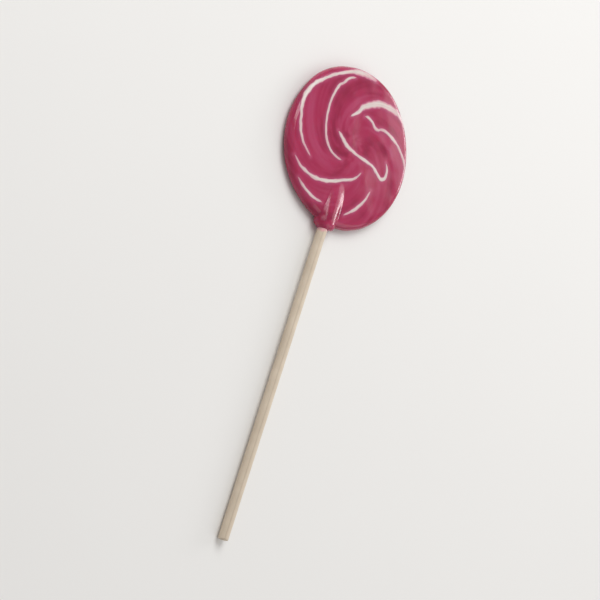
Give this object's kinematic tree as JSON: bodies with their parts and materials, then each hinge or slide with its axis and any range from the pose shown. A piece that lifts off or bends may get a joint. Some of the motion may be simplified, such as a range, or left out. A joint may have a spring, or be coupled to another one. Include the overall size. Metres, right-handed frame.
{
  "type": "swirl lollipop",
  "caption": "Flat round hard candy on a rolled paper stick, lying face up. Thin white candy swirls are inlaid in both raspberry-pink faces.",
  "frame": {"origin": "middle of the candy's flat back, on the surface that the candy lies on", "axes": "+Z out of the shown face, +Y away from the stick along the lollipop's length, +X to the right as the face is looked at with the stick down"},
  "size_m": [0.0513, 0.1529, 0.0048],
  "materials": {
    "pink_hard_candy": "glossy, translucent raspberry-pink boiled sugar",
    "white_hard_candy": "opaque white pulled sugar, inlaid level with the face",
    "rolled_paper": "off-white rolled paper, matt"
  },
  "bodies": {
    "root": {"candy": "pink_hard_candy", "stick": "rolled_paper", "swirl_front_1": "white_hard_candy", "swirl_front_2": "white_hard_candy", "swirl_front_3": "white_hard_candy", "swirl_front_4": "white_hard_candy", "swirl_front_5": "white_hard_candy", "swirl_front_6": "white_hard_candy", "swirl_front_7": "white_hard_candy", "swirl_front_8": "white_hard_candy", "swirl_back_1": "white_hard_candy", "swirl_back_2": "white_hard_candy", "swirl_back_3": "white_hard_candy", "swirl_back_4": "white_hard_candy", "swirl_back_5": "white_hard_candy", "swirl_back_6": "white_hard_candy"}
  },
  "joints": []
}
